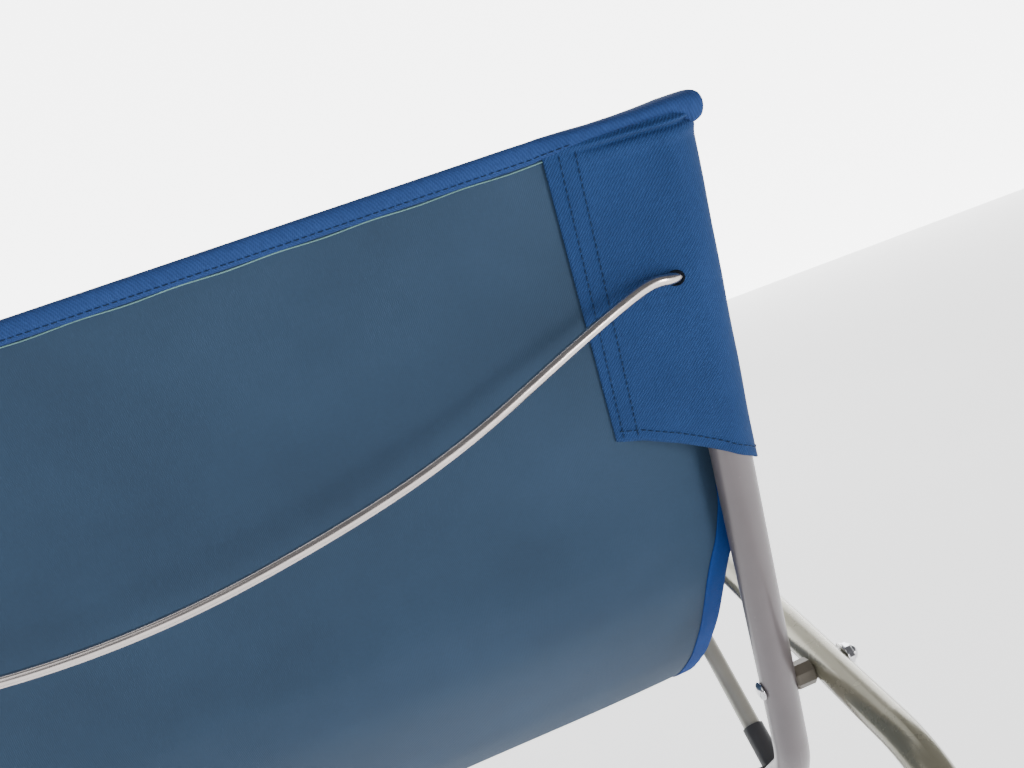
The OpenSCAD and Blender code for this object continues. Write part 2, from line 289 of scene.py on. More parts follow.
def cloth(name, base, pitch, rib, mottle, rough, bump, sheen, twill=True, coated=False):
    q = Mat(name)
    src = q.n("ShaderNodeUVMap").outputs[0]
    wear = q.n("ShaderNodeTexNoise", Scale=0.012, Detail=4.0, Roughness=0.55)
    fine = q.n("ShaderNodeTexNoise", Scale=0.55, Detail=3.0, Roughness=0.6)
    for x in (wear, fine):
        q.l(src, x.inputs["Vector"])
    mp = q.n("ShaderNodeMapping", Rotation=(0, 0, math.radians(-40 if twill else 0)))
    q.l(src, mp.inputs[0])
    ribs = q.n("ShaderNodeTexWave", wave_type="BANDS", bands_direction="X", Scale=0.31416 / pitch,
               Distortion=2.6, Detail=3.0)
    ribs.inputs["Detail Scale"].default_value = 1.6
    q.l(mp.outputs[0], ribs.inputs["Vector"])
    mp2 = q.n("ShaderNodeMapping", Rotation=(0, 0, math.radians(35 if twill else 90)))
    q.l(src, mp2.inputs[0])
    yarn = q.n("ShaderNodeTexWave", wave_type="BANDS", bands_direction="X", Scale=0.31416 / (pitch * 0.62),
               Distortion=0.7, Detail=1.0)
    q.l(mp2.outputs[0], yarn.inputs["Vector"])
    weave = q.math("ADD", q.math("MULTIPLY", ribs.outputs["Fac"], 0.62),
                   q.math("MULTIPLY", yarn.outputs["Fac"], 0.38))
    col = q.ramp(wear.outputs["Fac"], [(0.3, tuple(c * (1 - mottle) for c in base)), (0.7, tuple(c * (1 + mottle) for c in base))])
    col = q.mul(col, weave, rib)
    col = q.mul(col, fine.outputs["Fac"], 0.22 if not coated else 0.12)
    q.l(col, q.b.inputs["Base Color"])
    h = q.math("ADD", q.math("MULTIPLY", weave, 1.0), q.math("MULTIPLY", fine.outputs["Fac"], 0.5))
    bp = q.n("ShaderNodeBump", Strength=bump, Distance=0.00022)
    q.l(h, bp.inputs["Height"])
    q.l(bp.outputs[0], q.b.inputs["Normal"])
    r = q.math("MULTIPLY_ADD", fine.outputs["Fac"], 0.12, rough - 0.06)
    q.l(r, q.b.inputs["Roughness"])
    q.set(Sheen_Weight=sheen, Sheen_Roughness=0.45, Specular_IOR_Level=0.12 if not coated else 0.2)
    q.b.inputs["Sheen Tint"].default_value = (0.75, 0.85, 1, 1)
    return q.m


def paint(name, base, rough, edge, coat=0.35, metal=0.35, grain=0.06):
    """Powder or stove paint on a tube: fine orange peel, dust in blotches, rubbed spots."""
    q = Mat(name)
    src = q.n("ShaderNodeTexCoord").outputs["Object"]
    peel = q.n("ShaderNodeTexNoise", Scale=900.0, Detail=2.0)
    blot = q.n("ShaderNodeTexNoise", Scale=26.0, Detail=5.0, Roughness=0.6)
    rub = q.n("ShaderNodeTexNoise", Scale=140.0, Detail=3.0, Roughness=0.7)
    for x in (peel, blot, rub):
        q.l(src, x.inputs["Vector"])
    col = q.ramp(blot.outputs["Fac"], [(0.32, tuple(c * (1 - grain) for c in base)), (0.68, tuple(min(1, c * (1 + grain)) for c in base))])
    mk = q.ramp(rub.outputs["Fac"], [(0.66, (0, 0, 0)), (0.74, (1, 1, 1))])
    mx = q.n("ShaderNodeMix", data_type="RGBA")
    q.l(q.math("MULTIPLY", mk, 0.12), mx.inputs["Factor"])
    q.l(col, mx.inputs["A"])
    mx.inputs["B"].default_value = (*edge, 1)
    q.l(mx.outputs["Result"], q.b.inputs["Base Color"])
    bp = q.n("ShaderNodeBump", Strength=0.12, Distance=0.00004)
    q.l(peel.outputs["Fac"], bp.inputs["Height"])
    q.l(bp.outputs[0], q.b.inputs["Normal"])
    q.l(q.math("MULTIPLY_ADD", blot.outputs["Fac"], 0.09, rough - 0.045), q.b.inputs["Roughness"])
    q.set(Metallic=metal, Coat_Weight=coat, Coat_Roughness=0.16)
    return q.m


def steel(name, base, rough, streak=0.10, metal=1.0):
    q = Mat(name)
    src = q.n("ShaderNodeTexCoord").outputs["Object"]
    mp = q.n("ShaderNodeMapping", Scale=(30, 900, 900))
    q.l(src, mp.inputs[0])
    line = q.n("ShaderNodeTexNoise", Scale=1.0, Detail=3.0)
    q.l(mp.outputs[0], line.inputs["Vector"])
    blot = q.n("ShaderNodeTexNoise", Scale=60.0, Detail=4.0)
    q.l(src, blot.inputs["Vector"])
    col = q.ramp(line.outputs["Fac"], [(0.3, tuple(c * (1 - streak) for c in base)), (0.7, tuple(min(1, c * (1 + streak)) for c in base))])
    q.l(q.mul(col, blot.outputs["Fac"], 0.07), q.b.inputs["Base Color"])
    q.l(q.math("MULTIPLY_ADD", line.outputs["Fac"], 0.16, rough - 0.08), q.b.inputs["Roughness"])
    bp = q.n("ShaderNodeBump", Strength=0.10, Distance=0.00003)
    q.l(line.outputs["Fac"], bp.inputs["Height"])
    q.l(bp.outputs[0], q.b.inputs["Normal"])
    q.set(Metallic=metal)
    return q.m


def plastic(name, base, rough, scale=1400.0, var=0.15):
    q = Mat(name)
    src = q.n("ShaderNodeTexCoord").outputs["Object"]
    g = q.n("ShaderNodeTexNoise", Scale=scale, Detail=2.0)
    w = q.n("ShaderNodeTexNoise", Scale=45.0, Detail=5.0)
    q.l(src, g.inputs["Vector"])
    q.l(src, w.inputs["Vector"])
    col = q.ramp(w.outputs["Fac"], [(0.3, tuple(c * (1 - var) for c in base)), (0.72, tuple(min(1, c * (1 + var)) for c in base))])
    q.l(col, q.b.inputs["Base Color"])
    bp = q.n("ShaderNodeBump", Strength=0.25, Distance=0.00006)
    q.l(g.outputs["Fac"], bp.inputs["Height"])
    q.l(bp.outputs[0], q.b.inputs["Normal"])
    q.l(q.math("MULTIPLY_ADD", w.outputs["Fac"], 0.2, rough - 0.1), q.b.inputs["Roughness"])
    return q.m


BLUE = (0.0160, 0.0460, 0.1400)
BRIGHT = (0.0190, 0.0490, 0.1580)
SLATE = (0.0210, 0.0450, 0.0840)
M_BLUE = cloth("blue_twill", BLUE, 1.05, 0.34, 0.12, 0.85, 1.0, 0.03)
M_HEM = cloth("blue_hem_twill", BRIGHT, 1.05, 0.22, 0.08, 0.85, 0.8, 0.03)
M_BIND = cloth("blue_binding_tape", (0.0075, 0.0400, 0.1800), 0.7, 0.14, 0.06, 0.85, 0.5, 0.0, twill=False)
M_SLATE = cloth("slate_coated_back", SLATE, 0.75, 0.05, 0.12, 0.72, 0.20, 0.0, twill=False, coated=True)
M_FRONT = cloth("blue_front_twill", BLUE, 1.05, 0.34, 0.10, 0.85, 1.0, 0.03)
M_EDGE = cloth("pale_cut_edge", (0.16, 0.30, 0.30), 0.6, 0.2, 0.2, 0.9, 0.5, 0.0, twill=False)
M_THREAD = cloth("navy_thread", (0.007, 0.022, 0.060), 0.35, 0.35, 0.2, 0.8, 0.6, 0.1)
# near-black colour: painted shade of the rod openings, also used for the thin dark ring round them
M_HOLE_SHADE_AND_RIM = cloth("hole_painted_shade_and_rim", (0.004, 0.007, 0.014), 0.5, 0.3, 0.2, 0.95, 0.5, 0.0)
M_GREY = paint("mauve_grey_paint", (0.136, 0.120, 0.127), 0.40, (0.45, 0.44, 0.44))
M_CHAMP = paint("champagne_paint", (0.240, 0.228, 0.168), 0.27, (0.55, 0.54, 0.50), coat=0.6, metal=0.45)
M_STAY = paint("stay_paint", (0.326, 0.316, 0.276), 0.38, (0.50, 0.49, 0.45), coat=0.3)
M_ROD = steel("rod_steel", (0.66, 0.60, 0.575), 0.22)
M_PLATE = steel("plated_steel", (0.62, 0.62, 0.64), 0.18)
M_BUSH = plastic("bush_plastic", (0.106, 0.092, 0.071), 0.5)
M_BLACK = plastic("black_plastic", (0.028, 0.028, 0.031), 0.5)

# ---------------------------------------------------------------- threads
STITCHES = {}


def stitch(key, path, nrm, length=2.6, gap=0.8, r=0.32):
    """Thread segments along a dense path (metres), standing a little out of the cloth."""
    p = np.array(path, float)
    nr = np.array(nrm, float)
    d = np.r_[0, np.cumsum(np.linalg.norm(np.diff(p, axis=0), axis=1))] * 1000
    at = lambda s: np.array([np.interp(s, d, p[:, i]) for i in range(3)])
    an = lambda s: np.array([np.interp(s, d, nr[:, i]) for i in range(3)])
    verts, faces = STITCHES.setdefault(key, ([], []))
    s = gap
    while s + length < d[-1]:
        base = len(verts)
        prof = [(0.0, -0.25, 0.35), (0.12, 0.16, 0.9), (0.5, 0.30, 1.0), (0.88, 0.16, 0.9), (1.0, -0.25, 0.35)]
        for f, lift, w in prof:
            c = at(s + f * length)
            t = at(s + min(1, f + 0.05) * length) - at(s + max(0, f - 0.05) * length)
            t /= np.linalg.norm(t)
            nn = an(s + f * length)
            nn = nn - t * (nn @ t)
            nn /= np.linalg.norm(nn)
            b = np.cross(t, nn)
            c = c + nn * lift / 1000
            for j in range(6):
                g = 2 * math.pi * j / 6
                verts.append(tuple(c + (math.cos(g) * nn + math.sin(g) * b) * r * w / 1000))
        for i in range(len(prof) - 1):
            for j in range(6):
                k2 = (j + 1) % 6
                faces.append((base + i * 6 + j, base + i * 6 + k2, base + (i + 1) * 6 + k2, base + (i + 1) * 6 + j))
        faces.append(tuple(base + j for j in range(6)))
        e = base + (len(prof) - 1) * 6
        faces.append(tuple(e + j for j in range(6)))
        s += length + gap


def threads(key, name):
    v, f = STITCHES[key]
    o = mesh(name, v, f, np.array([(p[0] * 1000, (p[1] + p[2]) * 1000) for p in v]), [M_THREAD])
    fix(o)
    return o


# ---------------------------------------------------------------- the sling sheet
ROUTE = [uv(7.6, 303), uv(7.6, 270), uv(7.6, 230), uv(7.6, 190), uv(7.6, 160), uv(7.2, 135), uv(6.6, 115),
         (-26.0, 95.0), (-9.5, 70.5), (18.0, 45.5), (56.3, 15.7), (88.7, -6.5), (141.9, -36.6), (180, -50),
         (212, -54), (246, -45), (278, -20), (304, 22), (322, 60)]
line, arc = resample(cat(ROUTE, 12), 300)
SLING_LEN = arc[-1]
tang = np.gradient(line, axis=0)
tang /= np.linalg.norm(tang, axis=1)[:, None]
front_n = np.stack([-tang[:, 1], tang[:, 0]], 1)      # towards the sitter
if front_n[0] @ np.array([1, 0]) < 0:
    front_n = -front_n
S_HW = 251.2
line_u = line[:, 0] * CR + line[:, 1] * SR
push = np.clip(10.15 - line_u, 0, 3.2) * np.clip((line[:, 1] - 70) / 25, 0, 1)
hw_row = HALF - 0.8 - np.interp(line[:, 1], [45, 68, 80, 92, 105, 116, 126, 138, 150, 300], [10.0, 9.8, 7.5, 2.5, -3.0, -5.0, -4.0, 3.5, 4.5, 4.5]) * (arc < 260) \
    - 10.0 * (arc >= 260)
hw_row = np.convolve(np.pad(hw_row, 6, mode="edge"), np.hanning(15)[1:-1] / np.hanning(15)[1:-1].sum(), mode="valid")


def sling_at(x, i, d):
    """Sheet point: x sideways (mm), i row, d towards the sitter (mm)."""
    a = arc[i]
    f = abs(x) / S_HW
    x = x * hw_row[i] / S_HW
    near = np.clip((16.0 - (HALF - abs(x))) / 8.0, 0, 1)
    d = d + push[i] * near * near * (3 - 2 * near)
    low = np.clip((a - 150) / 120, 0, 1) * np.clip((SLING_LEN - 25 - a) / 90, 0, 1)
    bow = -2.2 * (1 - f ** 2) * low                    # the middle hangs back a little
    top = np.clip(1 - a / 60, 0, 1)
    wave = 0.35 * math.sin(x / 37.0 + a / 61.0) * math.sin(a / 43.0 + 0.6) * (0.4 + low)
    wave += 0.25 * top * math.sin(x / 9.0 + 0.4 * math.sin(x / 31.0))
    # soft cupping along the binding
    cup = 0.18 * low * max(0.0, f - 0.90) / 0.1 * math.sin(a / 17.0 + 1.0)
    p = line[i] + front_n[i] * (d + bow + wave + cup)
    return W(x, p[0], p[1])


xs = np.concatenate([np.linspace(-S_HW, -S_HW + 14, 5)[:-1], np.linspace(-S_HW + 14, S_HW - 14, 84), np.linspace(S_HW - 14, S_HW, 5)[1:]])
rows = list(range(0, 300, 2)) + [299]
A = np.array([[sling_at(x, i, 0.45) for x in xs] for i in rows])
B = np.array([[sling_at(x, i, -0.45) for x in xs] for i in rows])
U = np.array([[(x, arc[i]) for x in xs] for i in rows])
sling = shell("sling_cloth", A, B, U, [M_FRONT, M_SLATE, M_EDGE], side=(0, 1, 2))

# side bindings: tape folded over the sheet's edge
bind = []
ib = [i for i in range(300) if line[i, 1] < 119 or i > 150]
for m in (-1, 1):
    prof = [(-10.0, -1.0), (-9.7, -1.25), (-6, -1.25), (-2, -1.2), (0.2, -1.1), (0.95, -0.6), (1.15, 0.0),
            (0.95, 0.6), (0.2, 1.1), (-2, 1.2), (-6, 1.25), (-9.7, 1.25), (-10.0, 1.0), (-10.0, 0.5), (0.1, 0.5),
            (0.1, -0.5), (-10.0, -0.5)]
    G = np.array([[sling_at(m * (S_HW + dx + 0.1 * math.sin(arc[i] / 11.0)), i,
                            dz + (0.10 * math.sin(arc[i] / 3.1 + 0.5 * dx) if abs(dz) > 1.0 else 0)) for dx, dz in prof] for i in ib[::2] + [ib[-1]]])
    rr = ib[::2] + [ib[-1]]
    k = len(prof)
    verts = G.reshape(-1, 3)
    uvs = np.array([[(dx * m + 30 * (dz > 0), arc[i]) for dx, dz in prof] for i in rr]).reshape(-1, 2)
    faces = []
    for i in range(len(rr) - 1):
        for j in range(k):
            k2 = (j + 1) % k
            faces.append((i * k + j, i * k + k2, (i + 1) * k + k2, (i + 1) * k + j))
    faces.append(tuple(range(k)))
    faces.append(tuple((len(rr) - 1) * k + j for j in range(k)))
    o = mesh(("right" if m < 0 else "left") + "_sling_binding", verts, faces, uvs, [M_BIND])
    fix(o)
    bind.append(o)
    for sgn in (-1, 1):
        path = [sling_at(m * (S_HW - 8.6), i, sgn * 1.3) for i in ib]
        nrm = [(sling_at(m * (S_HW - 8.6), i, sgn * 2.3) - sling_at(m * (S_HW - 8.6), i, sgn * 1.3)) for i in ib]
        if sgn > 0:
            stitch("bind%d" % m, path, nrm, 2.2, 0.7, 0.22)

# ---------------------------------------------------------------- pockets round the posts
PR = 11.4
SEAM_E, SEAM_R, SEAM_F = 49.4, 6.1, 9.1


def section(r, er, ur, uf, n=150):
    """Open loop (e, u): rear seam, round the post, front seam; with outward normals."""
    def tang_pt(e, u, sgn):
        d = math.hypot(e, u)
        w = math.atan2(u, e) + sgn * math.acos(r / d)
        return w
    w1 = tang_pt(er, ur, -1)
    w2 = tang_pt(er, uf, 1)
    pts = [(er, ur)]
    for k in range(1, 60):
        f = k / 60
        pts.append((er + (r * math.cos(w1) - er) * f, ur + (r * math.sin(w1) - ur) * f))
    span = (w2 - 2 * math.pi) - w1
    for k in range(0, 61):
        w = w1 + span * k / 60
        pts.append((r * math.cos(w), r * math.sin(w)))
    for k in range(1, 61):
        f = k / 60
        pts.append((r * math.cos(w2) + (er - r * math.cos(w2)) * f, r * math.sin(w2) + (uf - r * math.sin(w2)) * f))
    c, _ = resample(np.array(pts), n)
    t = np.gradient(c, axis=0)
    t /= np.linalg.norm(t, axis=1)[:, None]
    nr = np.stack([-t[:, 1], t[:, 0]], 1)
    # outward is away from the post on the arc
    k = n // 2
    if nr[k] @ c[k] < 0:
        nr = -nr
    return c, nr


SEC, SEC_N = section(PR, SEAM_E, SEAM_R, SEAM_F)
SEC_D = np.r_[0, np.cumsum(np.linalg.norm(np.diff(SEC, axis=0), axis=1))]
BOT_E = [-11.4, -8.2, -5.6, 4.5, 14.8, 25.3, 38.2, 49.6]
BOT_V = [138.5, 141.2, 144.0, 150.6, 156.1, 160.8, 165.2, 166.8]
POCKET_TOP = 302.0


def pocket_bottom(e):
    return float(np.interp(e, BOT_E, BOT_V))


def pocket_pt(m, k, v, d=0.0):
    """Outer face of the pocket; k is a place (fractional) along the section, d mm outward."""
    e = np.interp(k, range(150), SEC[:, 0])
    u = np.interp(k, range(150), SEC[:, 1])
    ne = np.interp(k, range(150), SEC_N[:, 0])
    nu = np.interp(k, range(150), SEC_N[:, 1])
    rear = u < 3.5 + 0.06 * e
    g = 0.0
    a = SEC_D[-1] * k / 149.0
    # tucked ridge below the hem, deeper towards the post
    if a < 75:
        w = np.clip((44 - e) / 22, 0, 1) * np.clip((75 - a) / 16, 0, 1)
        c = 296.1 + 0.9 * np.clip((30 - e) / 40, 0, 1)
        g += w * (2.5 * math.exp(-((v - (c + 2.3)) / 1.25) ** 2) - 1.3 * math.exp(-((v - (c + 0.1)) / 0.8) ** 2))
        g += w * 1.2 * math.exp(-((v - (c - 3.0)) / 2.6) ** 2)
        # slack over the rear, a soft hollow and fold lines that run down from the corner
        g += 0.55 * math.sin(math.pi * np.clip(a / 48, 0, 1)) * math.sin((v - 150) / 31.0 + e / 23.0)
        g += 0.45 * w * math.exp(-((298 - v) / 26)) * math.sin(e / 3.4 + (298 - v) / 9.0)
        g -= 0.5 * math.exp(-((e - 12) ** 2 + (v - 236) ** 2) / 90.0)
    g += 0.16 * math.sin(v / 7.3 + e / 5.0) * math.sin(e / 6.1 + 1.0)
    lift = np.clip((pocket_bottom(e) + 6 - v) / 6, 0, 1)
    g += 0.25 * lift
    g *= np.clip(a / 5, 0, 1) * np.clip((SEC_D[-1] - a) / 5, 0, 1)
    return post(m, e + ne * (g + d), u + nu * (g + d), v)


pockets, holes = [], []
for m in (-1, 1):
    ks = np.arange(150)
    tv = np.concatenate([np.linspace(0, 0.03, 3)[:-1], np.linspace(0.03, 0.90, 60)[:-1], np.linspace(0.90, 1, 34)])
    A, B, U = [], [], []
    for t in tv:
        ra, rb, ru = [], [], []
        for k in ks:
            vb = pocket_bottom(SEC[k, 0])
            v = vb + (POCKET_TOP - vb) * t
            ra.append(pocket_pt(m, k, v))
            rb.append(pocket_pt(m, k, v, -0.8))
            ru.append((SEC_D[k] * m, v))
        A.append(ra)
        B.append(rb)
        U.append(ru)
    o = shell(("right" if m < 0 else "left") + "_pocket_cloth", np.array(A), np.array(B), np.array(U), [M_BLUE, M_SLATE, M_HEM])
    pockets.append(o)
    key = "pocket%d" % m

    def k_at(e, front=False):
        h = range(0, 60) if not front else range(149, 90, -1)
        h = list(h)
        return float(np.interp(-e, [-SEC[i, 0] for i in h], h))

    vv = np.linspace(167.5, 297.0, 90)
    for front in (False, True):
        for e0, e1 in ((46.0, 43.2), (39.9, 37.0)):
            ee = [e0 + (e1 - e0) * (v - 166) / 130 for v in vv]
            kk = [k_at(e, front) for e in ee]
            stitch(key, [pocket_pt(m, k, v, 0.0) for k, v in zip(kk, vv)],
                   [pocket_pt(m, k, v, 1.0) - pocket_pt(m, k, v, 0.0) for k, v in zip(kk, vv)], 2.6, 0.55, 0.23)
    kk = np.linspace(2, 147, 160)
    vs = [pocket_bottom(np.interp(k, range(150), SEC[:, 0])) + 5.4 for k in kk]
    stitch(key, [pocket_pt(m, k, v, 0.0) for k, v in zip(kk, vs)],
           [pocket_pt(m, k, v, 1.0) - pocket_pt(m, k, v, 0.0) for k, v in zip(kk, vs)], 2.6, 0.55, 0.23)

# ---------------------------------------------------------------- hem along the top
HEM_X = list(np.linspace(-(HALF + 13.3), -(HALF + 11), 8)) + list(np.linspace(-(HALF + 10.7), -(HALF - 58), 60)) + list(np.linspace(-(HALF - 60), HALF - 60, 110)) \
    + list(np.linspace(HALF - 58, HALF + 10.7, 60)) + list(np.linspace(HALF + 11, HALF + 13.3, 8))


def hem_section(x):
    """Centre u, half thickness, lowest and highest v of the hem at x."""
    e = HALF - abs(x)
    f = np.clip((52 - e) / 42, 0, 1)
    f = f * f * (3 - 2 * f)
    rear = np.interp(e, [-20, -12, 0, 4.2, 49.4, 54, 600], [-13.4, -13.8, -13.2, -12.4, 4.6, 4.9, 4.9])
    frontu = np.interp(e, [-20, -12, -8, 0, 8, 49.4, 54, 600], [-8.0, -4.5, 8.0, 12.6, 12.4, 10.4, 10.1, 10.1])
    lo = np.interp(e, [-20, -8.5, -4, 1, 20, 36, 54, 600], [293.6, 294.0, 296.6, 299.4, 299.4, 298.4, 296.2, 295.6])
    hi = np.interp(e, [-20, -8.5, -4, 2, 12, 30, 54, 600], [308.9, 308.8, 308.9, 308.8, 307.6, 305.9, 305.0, 304.9])
    return (rear + frontu) / 2, (frontu - rear) / 2, lo, hi


def hem_pt(x, w, d=0.0):
    uc, ht, lo, hi = hem_section(x)
    e = HALF - abs(x)
    end = 1.0
    if e < -7.6:
        end = math.sqrt(max(0.0, 1 - ((-7.6 - e) / 5.7) ** 2))
    vc, hh = (lo + hi) / 2, (hi - lo) / 2
    ht = ht * (0.25 + 0.75 * end) * (1 if end > 0.01 else 0.3)
    hh = hh * end
    c, s = math.cos(w), math.sin(w)
    p = 2.6 if e > 20 else 2.3
    cu = math.copysign(abs(c) ** (2 / p), c)
    sv = math.copysign(abs(s) ** (2 / p), s)
    wv = 0.22 * math.sin(x / 7.7 + 2 * w) * math.sin(x / 29.0) + 0.18 * math.sin(x / 3.3 + w)
    # a shallow valley where the fold is sewn down
    groove = -0.35 * math.exp(-((sv + 0.45) / 0.12) ** 2) if e > 46 else 0.0
    u = uc + (ht + wv * 0.5 + groove + d) * cu
    slope = 0.20 * (u - (uc - ht)) * np.clip((60 - e) / 40, 0, 1)
    return post(-1 if x < 0 else 1, e, u, vc + (hh + d * 0.9) * sv - slope * (0.5 + 0.5 * sv))


NW = 44
ws = [2 * math.pi * j / NW for j in range(NW)]
G = np.array([[hem_pt(x, w) for w in ws] for x in HEM_X])
faces = []
for i in range(len(HEM_X) - 1):
    for j in range(NW):
        k2 = (j + 1) % NW
        faces.append((i * NW + j, i * NW + k2, (i + 1) * NW + k2, (i + 1) * NW + j))
faces.append(tuple(range(NW)))
faces.append(tuple((len(HEM_X) - 1) * NW + j for j in range(NW)))
uvs = np.array([[(x, 3.2 * w) for w in ws] for x in HEM_X]).reshape(-1, 2)
hem = mesh("top_hem_cloth", G.reshape(-1, 3), faces, uvs, [M_HEM])
fix(hem)
for side in (math.pi, 0.0):
    hx = np.linspace(-(HALF - 38), HALF - 38, 500)
    w0 = math.pi + 0.40 if side else -0.40
    stitch("hem", [hem_pt(x, w0, 0.0) for x in hx], [hem_pt(x, w0, 1.0) - hem_pt(x, w0, 0.0) for x in hx], 2.6, 0.55, 0.23)
# pale cut edge that shows under the hem's fold
edge = []
for sgn in (-1, 1):
    hx = np.linspace(-(HALF - 48), HALF - 48, 260)
    u0 = 6.55 if sgn < 0 else 8.65
    edge.append(tube("hem_edge_a" if sgn < 0 else "hem_edge_b",
                     [post(-1 if x < 0 else 1, HALF - abs(x), u0, 295.75 + 0.25 * math.sin(x / 6.0)) for x in hx], 0.00028, [M_EDGE], n=6))
hem_edge = join(edge, "hem_cut_edge")

# ---------------------------------------------------------------- front sleeve of the seat
FC = np.array([350 * math.cos(math.radians(14.5)), 350 * math.sin(math.radians(14.5))])
apex = line[-1] - 0.0 * tang[-1]
dirn = apex - FC
dist = np.linalg.norm(dirn)
base = math.atan2(dirn[1], dirn[0])
R2 = 10.9
wv = math.acos(R2 / dist)
loop = [apex + np.array([math.cos(base + math.pi / 2), math.sin(base + math.pi / 2)]) * 0.9]
for k in range(0, 61):
    w = base + wv + (2 * math.pi - 2 * wv) * k / 60
    loop.append(FC + R2 * np.array([math.cos(w), math.sin(w)]))
loop.append(apex - np.array([math.cos(base + math.pi / 2), math.sin(base + math.pi / 2)]) * 0.9)
loop, ld = resample(np.array(loop), 70)
ln = np.gradient(loop, axis=0)
ln /= np.linalg.norm(ln, axis=1)[:, None]
ln = np.stack([ln[:, 1], -ln[:, 0]], 1)
if ln[35] @ (loop[35] - FC) < 0:
    ln = -ln
fx = np.linspace(-S_HW, S_HW, 150)


def fp(x, k, d):
    g = 0.22 * math.sin(x / 5.3 + k / 6.0) * math.sin(x / 23.0 + k / 11.0)
    p = loop[k] + ln[k] * (g + d)
    return W(x, p[0], p[1])


A = np.array([[fp(x, k, 0.0) for x in fx] for k in range(70)])
B = np.array([[fp(x, k, -0.8) for x in fx] for k in range(70)])
U = np.array([[(x, ld[k] + SLING_LEN) for x in fx] for k in range(70)])
sleeve = shell("front_sleeve_cloth", A, B, U, [M_FRONT, M_SLATE, M_HEM])
for k in (4, 65):
    stitch("sleeve", [fp(x, k, 0.0) for x in fx], [fp(x, k, 1.0) - fp(x, k, 0.0) for x in fx], 2.6, 0.55, 0.23)

# ---------------------------------------------------------------- back rod
ROD = [[2, -1.5, 236], [7, -5, 236], [12, -8.5, 236.5], [17, -9.5, 238], [21, -9.5, 238.5],
       [25, -9, 238], [30, -8.5, 236.5], [36, -9, 233.5], [57, -12.5, 227.5], [72, -15.5, 222.5],
       [87, -18.5, 217.5], [100, -21.5, 212], [121, -25.5, 205], [143, -28.5, 200], [174, -31.5, 195],
       [200, -33.5, 192], [230, -35, 189]]
ROD = np.array(ROD, float)
for _ in range(3):
    ROD[5:-1] = 0.25 * ROD[4:-2] + 0.5 * ROD[5:-1] + 0.25 * ROD[6:]
keys = [post(-1, *q) for q in ROD] + [post(-1, 262, -35.5, 188)] + [post(1, *q) for q in ROD[::-1]]
dense = cat(keys, 10)
for _ in range(3):
    soft = np.stack([np.convolve(np.pad(dense[:, i], 6, mode="edge"), np.ones(13) / 13, mode="valid") for i in range(3)], 1)
    w = np.clip(np.minimum(np.arange(len(dense)), np.arange(len(dense))[::-1]) / 14.0, 0, 1)[:, None]
    dense = dense * (1 - w) + soft * w
rod = tube("back_rod_steel", dense, 0.0025, [M_ROD], n=28)
# painted shade: near-black discs laid on the cloth stand in for the shaded openings where the rod goes in, each with a
# thin dark ring round it
for m in (-1, 1):
    k0 = float(np.interp(-11.2, [-SEC[i, 0] for i in range(60)], range(60)))
    ring, inner = [], []
    for j in range(48):
        w = 2 * math.pi * j / 48
        ek, vv0 = k0 + 3.3 * math.cos(w) / (SEC_D[1]), 236.3 + 3.05 * math.sin(w)
        ring.append(pocket_pt(m, ek, vv0, 0.1))
        inner.append((k0 + 0.92 * 3.3 * math.cos(w) / SEC_D[1], 236.3 + 0.92 * 3.05 * math.sin(w)))
    rim = tube("rod_hole_rim_%s" % ("right" if m < 0 else "left"), ring + [ring[0]], 0.0005, [M_HOLE_SHADE_AND_RIM], n=8, cap=False)
    # painted shade: a dark disc lying on the cloth, not an opening cut through it
    verts = [pocket_pt(m, k0, 236.3, 0.18)] + [pocket_pt(m, a, b, 0.18) for a, b in inner]
    verts += [pocket_pt(m, k0, 236.3, -0.1)] + [pocket_pt(m, a, b, -0.1) for a, b in inner]
    f = [(0, 1 + j, 1 + (j + 1) % 48) for j in range(48)] + [(49, 50 + (j + 1) % 48, 50 + j) for j in range(48)]
    f += [(1 + j, 50 + j, 50 + (j + 1) % 48, 1 + (j + 1) % 48) for j in range(48)]
    disc = mesh("hole_shade_disc", verts, f, np.array([(p[0] * 1000, p[2] * 1000) for p in verts]), [M_HOLE_SHADE_AND_RIM])
    fix(disc)
    holes.append(join([rim, disc], "%s_rod_hole" % ("right" if m < 0 else "left")))

# ---------------------------------------------------------------- pivots
RAIL_S = 29.0
def out(m, s, F=0.0, Z=0.0):
    return W(m * (HALF + s), F, Z)


heads, bushes, nuts = [], [], []
for m in (-1, 1):
    ax = (m, 0, 0)
    heads.append(lathe("h", [(0.1, 3.0), (0.0, 4.9), (-0.5, 5.0), (-1.0, 4.7), (-1.6, 4.2), (-2.1, 3.4), (-2.5, 2.2), (-2.7, 1.0), (-2.72, 0.05)],
                       out(m, -RT - 0.1), ax, [M_PLATE]))
    heads.append(lathe("h", [(-0.6, 3.0), (RAIL_S + RT + 5, 3.0)], out(m, -RT), ax, [M_PLATE], n=24))
    # eight-sided bush, its narrower inner end sunk into the post
    bushes.append(lathe("b", [(RT - 1.6, 6.0), (RT - 0.4, 6.9), (RT + 0.8, 7.0), (RT + 9.0, 7.0), (RT + 9.8, 6.5)],
                        out(m, 0), ax, [M_BUSH], n=8, sharp=True, phase=math.radians(22.5)))
    nuts.append(lathe("n", [(0.1, 6.5), (1.1, 6.5), (1.15, 6.2)], out(m, RAIL_S + RT), ax, [M_PLATE], n=40))
    nuts.append(lathe("n", [(1.1, 5.0), (1.5, 5.6), (4.3, 5.6), (4.7, 5.1)], out(m, RAIL_S + RT), ax, [M_PLATE], n=6, sharp=True))
    nuts.append(lathe("n", [(4.6, 4.5), (5.6, 4.3), (6.6, 3.7), (7.4, 2.6), (8.0, 1.2), (8.1, 0.1)], out(m, RAIL_S + RT), ax, [M_PLATE], n=32))
bolt_heads = join(heads, "pivot_bolt_set")
bush_set = join(bushes, "pivot_bush_set")
nut_set = join(nuts, "pivot_nut_set")

